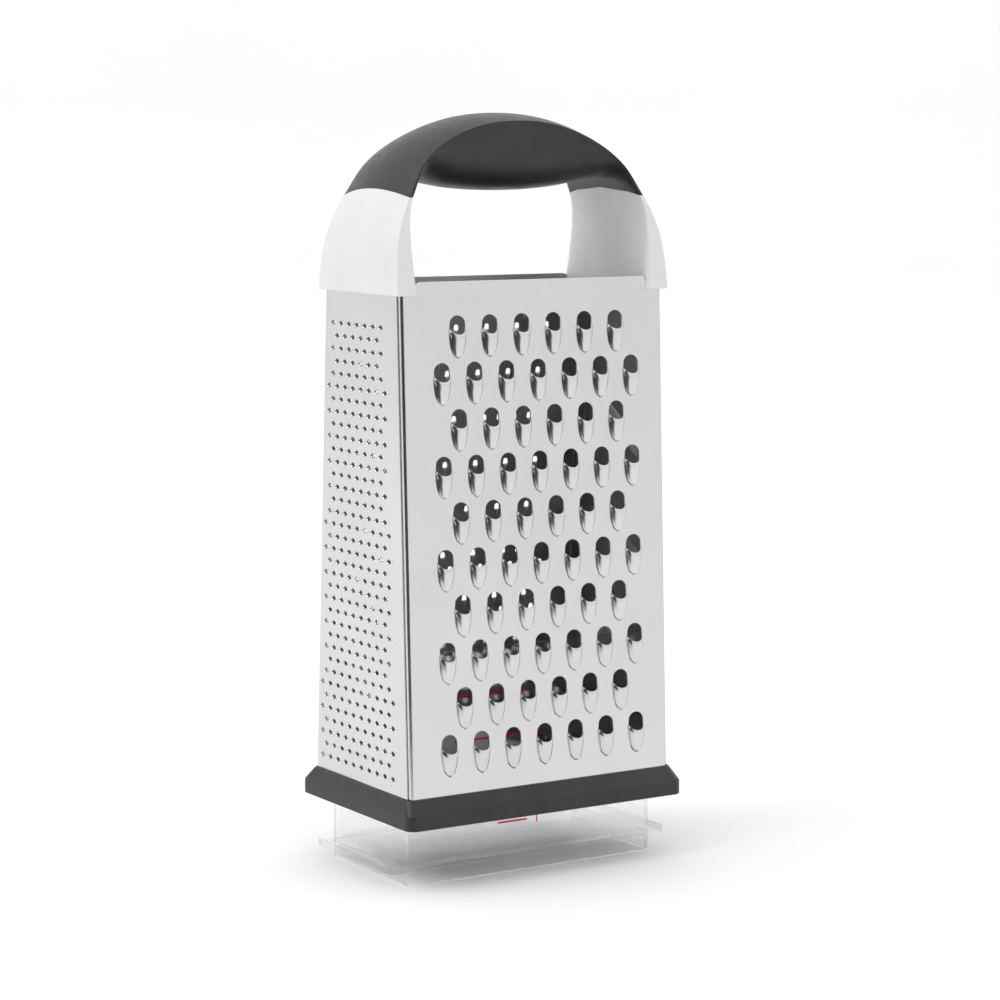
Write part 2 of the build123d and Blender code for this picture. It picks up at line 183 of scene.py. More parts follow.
# the inner steel is rougher than the outer, and darker in colour as painted shade
hard_black, clear, red, dull_and_shaded_steel = (
    hard_black_plastic(), clear_plastic(), red_scale_print(), inner_steel(),
)
FINISHES = {
    "steel": steel, "white_plastic": white, "black_rubber": rubber,
    "black_plastic": hard_black, "clear_plastic": clear,
}
slots = {part["node"]: part["material_slot"] for part in frame["record"]["subparts"]}
for name, node in frame["nodes"].items():
    node.data.materials.clear()
    node.data.materials.append(FINISHES[slots[name]])


# What every piece shares

SMOOTH_UP_TO, ROUND_FROM = radians(35), radians(38)     # angles between two faces


def piece(name, mesh, material, body, slot, *stands_for):
    """Makes a mesh a named piece on a body, in place of the CAD nodes it stands for."""
    bmesh.ops.scale(mesh, vec=(MM, MM, MM), verts=mesh.verts)
    data = bpy.data.meshes.new(name)
    mesh.to_mesh(data)
    mesh.free()
    creases = [edge.index for edge in data.edges if edge.use_edge_sharp]
    data.shade_smooth()
    data.set_sharp_from_angle(angle=SMOOTH_UP_TO)
    for index in creases:
        data.edges[index].use_edge_sharp = True
    data.materials.append(material)
    made = bpy.data.objects.new(name, data)
    scene.collection.objects.link(made)
    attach(made, body)
    if stands_for:
        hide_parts(*stands_for)
    return made


def even_shading(made):
    shading = made.modifiers.new("shading", "WEIGHTED_NORMAL")
    shading.keep_sharp = True


def sheet_thickness(made, thickness):
    """Gives a one-sided sheet its steel, inwards, with the rougher side within, whose darker
    colour is painted shade.
    """
    wall = made.modifiers.new("wall", "SOLIDIFY")
    wall.thickness = thickness * MM
    wall.offset = -1.0
    wall.use_even_offset = False
    # the inner faces take the rougher steel, whose darker colour is painted shade
    wall.material_offset = 1
    made.data.materials.append(dull_and_shaded_steel)
    even_shading(made)


def soft_edges(made, width, segments=3):
    """Rounds a moulding's edges."""
    rounding = made.modifiers.new("rounding", "BEVEL")
    rounding.width = width * MM
    rounding.segments = segments
    rounding.limit_method = "ANGLE"
    rounding.angle_limit = ROUND_FROM
    rounding.harden_normals = False
    even_shading(made)


def verts_in(geometry):
    return [item for item in geometry if isinstance(item, bmesh.types.BMVert)]


def edges_in(geometry):
    return [item for item in geometry if isinstance(item, bmesh.types.BMEdge)]


def join_into(mesh, part):
    """Adds a part to a mesh and lets the part go."""
    pattern = bpy.data.meshes.new("pattern")
    part.to_mesh(pattern)
    part.free()
    mesh.from_mesh(pattern)
    bpy.data.meshes.remove(pattern)


# Steel sheets

WIDTH, DEPTH_AT_BASE, DEPTH_AT_COLLAR = 110.0, 66.3, 51.3
WIDE_SHEET = 108.8          # the wide sheets' folds lie behind the narrow sheets
BASE_TOP_Z, COLLAR_Z = 32.5, 205.8
SHEET, BEND, FLANGE, BEND_STEPS = 0.6, 1.6, 7.0, 8
SHEET_LOW_Z, SHOULDER_Z, SIDE_TOP_Z = 27.5, 207.0, 214.8
FRONT_TOP_Z, BACK_TOP_Z = 210.4, 209.3
TONGUE_WIDTH, TONGUE_CORNER, CORNER_STEPS = 98.0, 3.0, 5
SLOPE = (DEPTH_AT_BASE - DEPTH_AT_COLLAR) / 2 / (COLLAR_Z - BASE_TOP_Z)
LEAN = atan(SLOPE)
TOUCHING, LEVEL = 0.001, 0.0001         # joined, on a line or in the plane within these
CELL_TOUCHING = 0.002                   # neighbouring teeth's cells are joined within this
LOWER = 0.01                            # a circle's points below this are its lower half


def half_depth(z):
    """Outside of the leaning wide sheets at a height."""
    return DEPTH_AT_BASE / 2 - (z - BASE_TOP_Z) * SLOPE


def up_sheet(z):
    """Distance up a leaning sheet, from its lower edge to a height."""
    return (z - SHEET_LOW_Z) / cos(LEAN)


def rows_of(count, top, pitch, columns, width_top, width_low, shift=0.0, first_row=0):
    """Staggered places, row by row from the top, as many as fit in each row's width."""
    places = []
    for row in range(count):
        width = width_top + (width_low - width_top) * row / (count - 1)
        if (row + first_row) % 2:
            reach = floor(width / 2 / columns)
            across = [k * columns for k in range(-reach, reach + 1)]
        else:
            reach = floor(width / 2 / columns + 0.5)
            across = [(k + 0.5) * columns for k in range(-reach, reach)]
        places += [(x + shift, top - row * pitch) for x in across]
    return places


HOOD_ROUNDNESS = 0.85
HOOD_STATIONS = (     # width and height against the station above, share of the length down
    (0.99, 0.94, 0.16), (0.96, 0.90, 0.18), (0.90, 0.84, 0.19), (0.80, 0.72, 0.18),
    (0.58, 0.50, 0.15),
)


def scoop(half, drop, lag, rise, length, sides, stations):
    """One tooth round the origin.

    A round hole, whose lower rim stands up and runs down into a closed tip.
    """
    tooth = bmesh.new()
    ring = bmesh.ops.create_circle(tooth, segments=2 * sides, radius=half)["verts"]
    hood = [vert for vert in ring if vert.co.y < half * LOWER]
    for vert in hood:
        arch = max(0.0, -vert.co.y / half)
        vert.co.y = -drop - lag * arch
        vert.co.z = rise * arch ** HOOD_ROUNDNESS
    rim = [edge for edge in tooth.edges if all(vert in hood for vert in edge.verts)]
    for width, height, down in stations:
        made = bmesh.ops.extrude_edge_only(tooth, edges=rim)["geom"]
        hood, rim = verts_in(made), edges_in(made)
        bmesh.ops.scale(tooth, vec=(width, 1.0, height), verts=hood)
        bmesh.ops.translate(tooth, vec=(0.0, -down * length, 0.0), verts=hood)
    bmesh.ops.pointmerge(tooth, verts=hood, merge_co=(0.0, -drop - length, 0.0))
    return tooth


BURR_BLUNT, BURR_TAPER = 1.7, 1.4       # height at the wide end, and what the point loses of it


def burr(half_length, half_height, rise, spread):
    """One small tooth round the origin: a pierced triangle, its pointed end pushed out."""
    tooth = bmesh.new()
    lip = bmesh.ops.create_circle(tooth, segments=6, radius=1.0)["verts"]
    bmesh.ops.rotate(tooth, matrix=Matrix.Rotation(pi / 6, 3, "Z"), verts=lip)
    for vert in lip:
        point = (1.0 + vert.co.x) / 2
        vert.co.x *= half_length
        vert.co.y *= half_height * (BURR_BLUNT - BURR_TAPER * point)
        vert.co.z = rise * point
    made = bmesh.ops.extrude_edge_only(tooth, edges=list(tooth.edges))["geom"]
    bmesh.ops.scale(tooth, vec=(spread, spread, 0.0), verts=verts_in(made))
    return tooth


def flat(edge):
    return all(abs(vert.co.z) < LEVEL for vert in edge.verts)


def fill_flat(mesh, edges):
    """Fills the plain steel between closed chains of edges."""
    bmesh.ops.triangle_fill(mesh, edges=edges, use_beauty=True, normal=UP)


def cell(tooth, width, height, low):
    """Flat steel round one tooth, out to the middle of its neighbours."""
    outline = [edge for edge in tooth.edges if len(edge.link_faces) < 2 and flat(edge)]
    corners = [(-width / 2, low), (0.0, low), (width / 2, low)]
    corners += [(x, low + height) for x, y in reversed(corners)]
    for edge in outline:
        edge.smooth = False
    border = [tooth.verts.new((x, y, 0.0)) for x, y in corners]
    edges = [tooth.edges.new(pair) for pair in zip(border, border[1:] + border[:1])]
    for edge in edges:
        edge.seam = True
    fill_flat(tooth, outline + edges)
    bmesh.ops.recalc_face_normals(tooth, faces=tooth.faces)
    return tooth


def press_teeth(sheet, tooth, places):
    """Sets a copy of a tooth's cell at each place, and fills the plain steel round them all."""
    outline = list(sheet.edges)
    pattern = bpy.data.meshes.new("tooth_pattern")
    tooth.to_mesh(pattern)
    tooth.free()
    teeth = bmesh.new()
    for x, y in places:
        first = len(teeth.verts)
        teeth.from_mesh(pattern)
        teeth.verts.ensure_lookup_table()
        bmesh.ops.translate(teeth, vec=(x, y, 0.0), verts=teeth.verts[first:])
    bpy.data.meshes.remove(pattern)
    bmesh.ops.remove_doubles(teeth, verts=teeth.verts, dist=CELL_TOUCHING)
    join_into(sheet, teeth)
    border = [edge for edge in sheet.edges if edge.seam and len(edge.link_faces) == 1]
    fill_flat(sheet, outline + border)
    face_outwards(sheet)


def face_outwards(sheet):
    """Turns a sheet's faces to its outside, +Z while it lies flat."""
    bmesh.ops.recalc_face_normals(sheet, faces=sheet.faces)
    if sum(face.normal.z * face.calc_area() for face in sheet.faces) < 0:
        bmesh.ops.reverse_faces(sheet, faces=sheet.faces)


def outlined(points):
    """A flat face through the points; its edges are the sheet's outline."""
    sheet = bmesh.new()
    sheet.faces.new([sheet.verts.new((x, y, 0.0)) for x, y in points])
    return sheet


def open_outline(sheet):
    """Takes the faces away and keeps the outline."""
    bmesh.ops.delete(sheet, geom=list(sheet.faces), context="FACES_ONLY")
    return sheet


def wide_sheet(top_z):
    """Outline of a wide sheet in its own plane: shoulders, and a tongue between the collars."""
    half, tongue = WIDE_SHEET / 2 - BEND, TONGUE_WIDTH / 2
    shoulder, top = up_sheet(SHOULDER_Z), up_sheet(top_z)
    sheet = outlined([
        (-half, 0.0), (half, 0.0), (half, shoulder), (tongue, shoulder), (tongue, top),
        (-tongue, top), (-tongue, shoulder), (-half, shoulder),
    ])
    corners = [vert for vert in sheet.verts if vert.co.y > top - SHEET]
    bmesh.ops.bevel(
        sheet, geom=corners, offset=TONGUE_CORNER, segments=CORNER_STEPS, profile=0.5,
        affect="VERTICES", material=-1,
    )
    return open_outline(sheet)


def narrow_sheet():
    """Outline of a narrow sheet in its own plane, a trapezoid that ends at the bends."""
    low, high = half_depth(SHEET_LOW_Z) - BEND, half_depth(SIDE_TOP_Z) - BEND
    top = SIDE_TOP_Z - SHEET_LOW_Z
    return open_outline(outlined([(-low, 0.0), (low, 0.0), (high, top), (-high, top)]))


def fold_edges(sheet):
    """Bends the long edges back through a quarter turn and adds the flanges."""
    half = WIDE_SHEET / 2 - BEND
    for side in (-1, 1):
        edges = [
            edge for edge in sheet.edges
            if len(edge.link_faces) == 1
            and all(abs(vert.co.x - side * half) < TOUCHING for vert in edge.verts)
        ]
        bent = bmesh.ops.spin(
            sheet, geom=edges, cent=(side * half, 0.0, -BEND), axis=(0.0, 1.0, 0.0),
            angle=side * pi / 2, steps=BEND_STEPS, use_duplicate=False,
        )["geom_last"]
        folded = bmesh.ops.extrude_edge_only(sheet, edges=edges_in(bent))["geom"]
        bmesh.ops.translate(sheet, vec=(0.0, 0.0, BEND - FLANGE), verts=verts_in(folded))
    bmesh.ops.remove_doubles(sheet, verts=sheet.verts, dist=TOUCHING)
    face_outwards(sheet)


def upright(across, up):
    """The turn that lays +X along across and +Y along up."""
    across, up = Vector(across), Vector(up)
    return Matrix((across, up, across.cross(up))).transposed().to_4x4()


LOW_DEPTH = half_depth(SHEET_LOW_Z)
PLACES = {      # each sheet's lower middle, and the ways across it and up it
    "front": (
        (0.0, -LOW_DEPTH, SHEET_LOW_Z), (1.0, 0.0, 0.0), (0.0, sin(LEAN), cos(LEAN)),
    ),
    "back": (
        (0.0, LOW_DEPTH, SHEET_LOW_Z), (-1.0, 0.0, 0.0), (0.0, -sin(LEAN), cos(LEAN)),
    ),
    "left": ((-WIDTH / 2, 0.0, SHEET_LOW_Z), (0.0, -1.0, 0.0), UP),
    "right": ((WIDTH / 2, 0.0, SHEET_LOW_Z), (0.0, 1.0, 0.0), UP),
}


def finish_sheet(name, sheet, side, stands_for):
    """Stands a sheet up in its place and gives it its thickness."""
    origin, across, up = PLACES[side]
    place = Matrix.Translation(origin) @ upright(across, up)
    bmesh.ops.transform(sheet, matrix=place, verts=sheet.verts)
    sheet_thickness(piece(name, sheet, steel, "grater", "steel", stands_for), SHEET)


COARSE_ROWS, COARSE_TOP_Z, COARSE_PITCH, COARSE_ROW_PITCH = 10, 195.4, 13.2, 16.1
COARSE_FIELD, COARSE_SHIFT = 81.0, 1.2
MEDIUM_ROWS, MEDIUM_TOP_Z, MEDIUM_PITCH, MEDIUM_ROW_PITCH = 26, 196.0, 6.6, 5.6
MEDIUM_FIELD = 80.0
FINE_ROWS, FINE_TOP_Z, FINE_PITCH, FINE_ROW_PITCH = 36, 194.4, 5.5, 4.47
FINE_FIELD_TOP, FINE_FIELD_LOW, FINE_SHIFT = 36.7, 52.8, -2.4
COARSE_CELL_LOW, MEDIUM_CELL_LOW = -12.3, -3.9      # a cell's lower edge, from its hole's middle


def coarse_sheet():
    """The front, with ten rows of large scoops."""
    sheet = wide_sheet(FRONT_TOP_Z)
    tooth = scoop(
        half=3.3, drop=1.2, lag=2.2, rise=2.0, length=10.6, sides=8, stations=HOOD_STATIONS,
    )
    rows = rows_of(
        COARSE_ROWS, COARSE_TOP_Z, COARSE_ROW_PITCH, COARSE_PITCH, COARSE_FIELD, COARSE_FIELD,
        COARSE_SHIFT,
    )
    tooth = cell(tooth, COARSE_PITCH, COARSE_ROW_PITCH / cos(LEAN), COARSE_CELL_LOW)
    press_teeth(sheet, tooth, [(x, up_sheet(z)) for x, z in rows])
    fold_edges(sheet)
    finish_sheet("coarse_sheet", sheet, "front", "coarse_panel")


def medium_sheet():
    """The back, with 26 rows of small scoops."""
    sheet = wide_sheet(BACK_TOP_Z)
    tooth = scoop(
        half=1.2, drop=0.8, lag=0.5, rise=0.9, length=2.8, sides=4, stations=HOOD_STATIONS[1::2],
    )
    rows = rows_of(
        MEDIUM_ROWS, MEDIUM_TOP_Z, MEDIUM_ROW_PITCH, MEDIUM_PITCH, MEDIUM_FIELD, MEDIUM_FIELD,
    )
    tooth = cell(tooth, MEDIUM_PITCH, MEDIUM_ROW_PITCH / cos(LEAN), MEDIUM_CELL_LOW)
    press_teeth(sheet, tooth, [(x, up_sheet(z)) for x, z in rows])
    fold_edges(sheet)
    finish_sheet("medium_sheet", sheet, "back", "medium_panel")


def fine_sheet():
    """The left side, with 36 rows of raised, pierced triangles."""
    sheet = narrow_sheet()
    tooth = burr(half_length=2.0, half_height=0.95, rise=0.3, spread=1.1)
    rows = rows_of(
        FINE_ROWS, FINE_TOP_Z, FINE_ROW_PITCH, FINE_PITCH, FINE_FIELD_TOP, FINE_FIELD_LOW,
        FINE_SHIFT, first_row=1,
    )
    tooth = cell(tooth, FINE_PITCH, FINE_ROW_PITCH, -FINE_ROW_PITCH / 2)
    press_teeth(sheet, tooth, [(x, z - SHEET_LOW_Z) for x, z in rows])
    finish_sheet("fine_sheet", sheet, "left", "fine_panel")


SLOT_HALF, SLOT_HEIGHT, SLOT_SIDES = 18.0, 3.0, 24
BLADE_REACH, BLADE_RISE, BLADE_RUN, BLADE_ROUNDNESS = 1.2, 2.0, 5.0, 0.6
RAMP = ((0.45, 0.62), (0.55, 0.0))      # share of the run, height against the station above
SLOT_HEIGHTS, SLOT_TILT = (157.0, 116.0, 75.0), radians(33.0)


def slicing_slot():
    """A slot with round ends round the origin, its lower edge raised on a ramp."""
    slot = bmesh.new()
    ring = bmesh.ops.create_circle(slot, segments=SLOT_SIDES, radius=SLOT_HEIGHT / 2)["verts"]
    for vert in ring:
        vert.co.x += copysign(SLOT_HALF - SLOT_HEIGHT / 2, vert.co.x)
    lip = [vert for vert in ring if vert.co.y < LOWER]
    for vert in lip:
        from_end = min(1.0, (SLOT_HALF - abs(vert.co.x)) / BLADE_REACH)
        vert.co.z = BLADE_RISE * from_end ** BLADE_ROUNDNESS
        vert.co.y = 0.0
    edges = [edge for edge in slot.edges if all(vert in lip for vert in edge.verts)]
    for share, height_left in RAMP:
        made = bmesh.ops.extrude_edge_only(slot, edges=edges)["geom"]
        lip, edges = verts_in(made), edges_in(made)
        bmesh.ops.scale(slot, vec=(1.0, 1.0, height_left), verts=lip)
        bmesh.ops.translate(slot, vec=(0.0, -BLADE_RUN * share, 0.0), verts=lip)
    for edge in slot.edges:
        edge.smooth = not (len(edge.link_faces) < 2 and flat(edge))
    return slot


def slicer_sheet():
    """The right side, with three slanted slicing slots."""
    sheet = narrow_sheet()
    for z in SLOT_HEIGHTS:
        slot = slicing_slot()
        turn = Matrix.Rotation(SLOT_TILT, 4, "Z")
        place = Matrix.Translation((0.0, z - SHEET_LOW_Z, 0.0)) @ turn
        bmesh.ops.transform(slot, matrix=place, verts=slot.verts)
        join_into(sheet, slot)
    fill_flat(sheet, [edge for edge in sheet.edges if len(edge.link_faces) < 2 and flat(edge)])
    face_outwards(sheet)
    finish_sheet("slicer_sheet", sheet, "right", "slicer_panel")


coarse_sheet()
medium_sheet()
fine_sheet()
slicer_sheet()


# Handle

HANDLE_HALF_WIDTH, HANDLE_HEIGHT, HANDLE_HALF_DEPTH, CROWN = 56.3, 59.4, 27.4, 3.0
ARCH_SHARES = (     # x of the half width, z of the height, half depth, crown; from the collar up
    (1.000, 0.000, 1.000, 0.20), (0.995, 0.138, 0.967, 0.33), (0.973, 0.306, 0.920, 0.60),
    (0.941, 0.407, 0.883, 0.80), (0.902, 0.492, 0.850, 0.93), (0.849, 0.584, 0.807, 1.00),
    (0.737, 0.747, 0.730, 1.00), (0.551, 0.879, 0.657, 0.97), (0.284, 0.973, 0.628, 0.93),
    (0.000, 1.000, 0.620, 0.93),
)
UNDER_SHARES = (    # x, z down the middle of the underside, up the arm and along the belly
    (0.838, 0.000), (0.843, 0.054), (0.864, 0.273), (0.866, 0.424), (0.848, 0.525),
    (0.811, 0.593), (0.771, 0.640), (0.720, 0.662), (0.568, 0.636), (0.409, 0.609),
    (0.213, 0.593), (0.000, 0.588),
)
ARCH_END, UNDER_END = len(ARCH_SHARES) - 1, len(UNDER_SHARES) - 1
UNDER_ARM_END = 6.0         # the underside's place where the arm turns into the belly
SPLIT_Z, SPLIT_HALF_DEPTH, SPLIT_RISE = 239.0, 22.2, 2.7
CROWN_SIDES, UNDER_SIDES, ARM_STATIONS, GRIP_STATIONS = 16, 20, 12, 22
FLAT_SIDED, ROUND_BELLY = 12.0, 2.0     # squareness of the section at the arms and the belly
BELLY_SPREAD = 3.0                      # the belly is round from a third of the way on
ARM_EDGE, GRIP_EDGE = 0.8, 1.0          # roundings
ALONG_STEP, HALVINGS = 0.02, 24


def smooth_through(table, place):
    """A point of a smooth curve through a table's rows; place 0 is the first row.

    Past the last row the curve goes on as its own mirror image.
    """
    index = min(int(place), len(table) - 2)
    t = place - index
    rows = (table[min(max(index + k, 0), len(table) - 1)] for k in (-1, 0, 1, 2))
    before, start, end, after = rows
    if index + 2 > len(table) - 1:
        after = (-table[-2][0],) + tuple(table[-2][1:])
    return [
        0.5 * (
            2 * b + (c - a) * t + (2 * a - 5 * b + 4 * c - d) * t * t
            + (3 * b - a - 3 * c + d) * t ** 3
        )
        for a, b, c, d in zip(before, start, end, after)
    ]


def outer_point(place, s):
    """The handle's outer surface: place along the arch, s from -1 to 1 across it."""
    x, z, depth, crown = smooth_through(ARCH_SHARES, place)
    x1, z1 = smooth_through(ARCH_SHARES, min(place + ALONG_STEP, ARCH_END))[:2]
    x0, z0 = smooth_through(ARCH_SHARES, max(place - ALONG_STEP, 0.0))[:2]
    along = Vector(((x1 - x0) * HANDLE_HALF_WIDTH, (z1 - z0) * HANDLE_HEIGHT)).normalized()
    rise = CROWN * crown * (1 - s * s)
    return Vector((
        x * HANDLE_HALF_WIDTH + along.y * rise, s * depth * HANDLE_HALF_DEPTH,
        COLLAR_Z + z * HANDLE_HEIGHT - along.x * rise,
    ))


def under_point(place):
    """x and z of the underside's middle line."""
    x, z = smooth_through(UNDER_SHARES, place)
    return x * HANDLE_HALF_WIDTH, COLLAR_Z + z * HANDLE_HEIGHT


def split_height(y):
    """Height of the arched parting line between the white arm and the black grip."""
    return SPLIT_Z + SPLIT_RISE * (1 - (y / SPLIT_HALF_DEPTH) ** 2)


def place_below(end, is_past):
    """The last place, from 0 to end, that isn't past a line."""
    low, high = 0.0, float(end)
    for _ in range(HALVINGS):
        middle = (low + high) / 2
        low, high = (low, middle) if is_past(middle) else (middle, high)
    return low


def split_place(s):
    """Where along the arch its outer surface meets the parting line."""
    def is_past(place):
        point = outer_point(place, s)
        return point.z > split_height(point.y)
    return place_below(ARCH_END, is_past)


def under_place(height):
    """Where up the arm's inner face a height is reached."""
    return place_below(UNDER_ARM_END, lambda place: under_point(place)[1] > height)


def part_way(split, end, share, is_grip):
    """A place between the collar and the parting line, or between that and the middle."""
    return split + (end - split) * share if is_grip else split * share


def handle_loop(share, squareness, is_grip):
    """Cross-section: over the crown, down a side, along the underside and up again."""
    points = []
    for k in range(CROWN_SIDES + 1):
        s = 1 - 2 * k / CROWN_SIDES
        points.append(outer_point(part_way(split_place(s), ARCH_END, share, is_grip), s))
    front, back = points[-1], points[0]
    for k in range(1, UNDER_SIDES):
        angle = pi * k / UNDER_SIDES
        across, down = -cos(angle), sin(angle)
        y = abs(across) ** (2 / squareness) * (1 if across > 0 else -1)
        sink = down ** (2 / squareness)
        edge = back if y > 0 else front
        y *= abs(edge.y)
        foot = under_place(split_height(y))
        x, z = under_point(part_way(foot, UNDER_END, share, is_grip))
        points.append(Vector((edge.x + (x - edge.x) * sink, y, edge.z + (z - edge.z) * sink)))
    return points


def lofted(mesh, loops):
    """Bridges closed loops of points, one after another, and caps the two ends."""
    rings = []
    for points in loops:
        ring = bmesh.ops.create_circle(mesh, segments=len(points), radius=1.0)["verts"]
        for vert, point in zip(ring, points):
            vert.co = point
        rings.append([mesh.edges.get(pair) for pair in zip(ring, ring[1:] + ring[:1])])
    for one, two in zip(rings, rings[1:]):
        bmesh.ops.bridge_loops(mesh, edges=one + two)
    for ring in (rings[0], rings[-1]):
        bmesh.ops.contextual_create(mesh, geom=ring)
    bmesh.ops.recalc_face_normals(mesh, faces=mesh.faces)


def handle_arms():
    """Two white arms, from the collars up to the grip."""
    for side, name in ((-1, "left"), (1, "right")):
        arm = bmesh.new()
        lofted(arm, [
            handle_loop(k / ARM_STATIONS, FLAT_SIDED, False) for k in range(ARM_STATIONS + 1)
        ])
        bmesh.ops.scale(arm, vec=(side, 1.0, 1.0), verts=arm.verts)
        bmesh.ops.recalc_face_normals(arm, faces=arm.faces)
        stands_for = ["handle_frame"] if side == 1 else []
        made = piece(f"{name}_arm", arm, white, "grater", "white_plastic", *stands_for)
        soft_edges(made, ARM_EDGE)


def handle_grip():
    """The black cover, flat-sided at the arms and round-bellied in the middle."""
    grip = bmesh.new()
    loops = []
    for k in range(GRIP_STATIONS + 1):
        share = k / GRIP_STATIONS
        belly = min(1.0, share * BELLY_SPREAD)
        squareness = FLAT_SIDED - (FLAT_SIDED - ROUND_BELLY) * belly
        loops.append(handle_loop(share, squareness, True))
    mirrored = [[Vector((-p.x, p.y, p.z)) for p in loop] for loop in reversed(loops[:-1])]
    lofted(grip, loops + mirrored)
    made = piece("handle_grip_cover", grip, rubber, "grater", "black_rubber", "handle_grip")
    soft_edges(made, GRIP_EDGE)


handle_arms()
handle_grip()


# Foot ring, container and lid

QUARTER_SIDES = 7
FOOT_RING = (       # half width, half depth, corner radius and height, round its section
    (58.1, 38.47, 4.0, 22.6), (58.1, 38.47, 4.0, 27.6), (55.8, 33.95, 3.0, 32.5),
    (55.0, 33.15, 1.6, 32.5), (55.0, 33.25, 1.6, 30.5), (56.2, 34.57, 0.6, 30.5),
    (56.2, 34.57, 0.6, 22.6),
)
OUTER, INNER, RIB = (51.9, 26.6, 2.0), (50.7, 25.4, 1.0), (53.8, 28.5, 2.6)
LID_TOP_Z, RECESS_Z, FLOOR_Z, RIB_LOW_Z, RIB_TOP_Z, MOUTH_Z = 6.7, 5.5, 7.9, 24.0, 25.5, 82.0
WALL_Y = OUTER[1]
TAB_ROOT, TAB_LIP, TAB_END, TAB_CORNER = 51.7, 57.6, 59.1, 4.0
TAB_LOW_Z, TAB_LIP_Z = 5.2, 8.2
CORNER_CUTS = (22.5, 45.0, 67.5)            # degrees round a tab's corner
RING_EDGE, CLEAR_EDGE, CLEAR_EDGE_STEPS = 0.5, 0.35, 2


def rounded_ring(mesh, half_x, half_y, corner, z):
    """Edges of a flat rectangle with rounded corners: a circle, its quarters moved apart."""
    half_step = pi / 4 / QUARTER_SIDES
    ring = bmesh.ops.create_circle(
        mesh, segments=4 * QUARTER_SIDES, radius=corner / cos(half_step),
        matrix=Matrix.Rotation(half_step, 4, "Z"),
    )["verts"]
    for vert in ring:
        vert.co.x += copysign(half_x - corner, vert.co.x)
        vert.co.y += copysign(half_y - corner, vert.co.y)
        vert.co.z = z
    return [mesh.edges.get(pair) for pair in zip(ring, ring[1:] + ring[:1])]


def stacked(mesh, rings, closed=False):
    """Joins rounded rings one to the next; ends with the first again, or with caps."""
    made = [rounded_ring(mesh, *ring) for ring in rings]
    for one, two in zip(made, made[1:] + (made[:1] if closed else [])):
        bmesh.ops.bridge_loops(mesh, edges=one + two)
    if not closed:
        for ring in (made[0], made[-1]):
            bmesh.ops.edgeloop_fill(mesh, edges=ring)
    bmesh.ops.recalc_face_normals(mesh, faces=mesh.faces)


def foot_ring():
    """The soft black ring round the foot of the body."""
    ring = bmesh.new()
    stacked(ring, FOOT_RING, closed=True)
    made = piece("foot_ring", ring, rubber, "grater", "black_rubber", "base_ring")
    soft_edges(made, RING_EDGE)


def clear_piece(name, mesh, body, stands_for):
    """A clear moulding; light passes through it to the floor."""
    made = piece(name, mesh, clear, body, "clear_plastic", stands_for)
    made.visible_shadow = False
    soft_edges(made, CLEAR_EDGE, segments=CLEAR_EDGE_STEPS)


def catch_container():
    """An open box, with the rib round it that carries the grater."""
    box = bmesh.new()
    stacked(box, [
        (*OUTER, LID_TOP_Z), (*OUTER, RIB_LOW_Z), (*RIB, RIB_LOW_Z), (*RIB, RIB_TOP_Z),
        (*OUTER, RIB_TOP_Z), (*OUTER, MOUTH_Z), (*INNER, MOUTH_Z), (*INNER, FLOOR_Z),
    ])
    clear_piece("catch_container", box, "catch", "container")


def end_tab(lid, side):
    """A flat tab whose outer end turns up, with rounded corners."""
    tab = bmesh.new()
    outline = [
        (TAB_ROOT, TAB_LOW_Z), (TAB_END, TAB_LOW_Z), (TAB_END, TAB_LIP_Z), (TAB_LIP, TAB_LIP_Z),
        (TAB_LIP, LID_TOP_Z), (TAB_ROOT, LID_TOP_Z),
    ]
    profile = tab.faces.new([tab.verts.new((x, -WALL_Y, z)) for x, z in outline])
    made = bmesh.ops.extrude_face_region(tab, geom=[profile])["geom"]
    bmesh.ops.translate(tab, vec=(0.0, 2 * WALL_Y, 0.0), verts=verts_in(made))
    for end in (-1, 1):
        for turn in CORNER_CUTS:
            away = Vector((cos(radians(turn)), end * sin(radians(turn)), 0.0))
            centre = Vector((TAB_END - TAB_CORNER, end * (WALL_Y - TAB_CORNER), 0.0))
            cut = bmesh.ops.bisect_plane(
                tab, geom=tab.verts[:] + tab.edges[:] + tab.faces[:],
                plane_co=centre + away * TAB_CORNER, plane_no=away, clear_outer=True,
            )["geom_cut"]
            bmesh.ops.holes_fill(tab, edges=edges_in(cut))
    bmesh.ops.scale(tab, vec=(side, 1.0, 1.0), verts=tab.verts)
    bmesh.ops.recalc_face_normals(tab, faces=tab.faces)
    join_into(lid, tab)


def tray_lid():
    """The lid under the container, hollow below, with a tab at each end."""
    lid = bmesh.new()
    stacked(lid, [(*OUTER, LID_TOP_Z), (*OUTER, 0.0), (*INNER, 0.0), (*INNER, RECESS_Z)])
    end_tab(lid, -1)
    end_tab(lid, 1)
    clear_piece("tray_lid", lid, "lid", "container_lid")


SCALE_TICKS, SCALE_LOW_Z, SCALE_STEP, PRINT_STANDS_OUT = 8, 18.4, 7.8, 0.03
TICK_END, SHORT_TICK, LONG_TICK, TICK_HEIGHT = -2.3, -14.6, -33.0, 0.7
FIGURE_START, FIGURE_SIZE = 0.5, 5.5


def scale_figure(marks, number, z):
    """One generic number, right of its tick."""
    figure = bpy.data.curves.new("figure", "FONT")
    figure.body = str(number)
    figure.size = FIGURE_SIZE
    figure.align_x, figure.align_y = "LEFT", "CENTER"
    holder = bpy.data.objects.new("figure", figure)
    flat_figure = bpy.data.meshes.new_from_object(holder)
    first = len(marks.verts)
    marks.from_mesh(flat_figure)
    marks.verts.ensure_lookup_table()
    bmesh.ops.translate(marks, vec=(FIGURE_START, z, 0.0), verts=marks.verts[first:])
    bpy.data.objects.remove(holder)
    bpy.data.meshes.remove(flat_figure)
    bpy.data.curves.remove(figure)


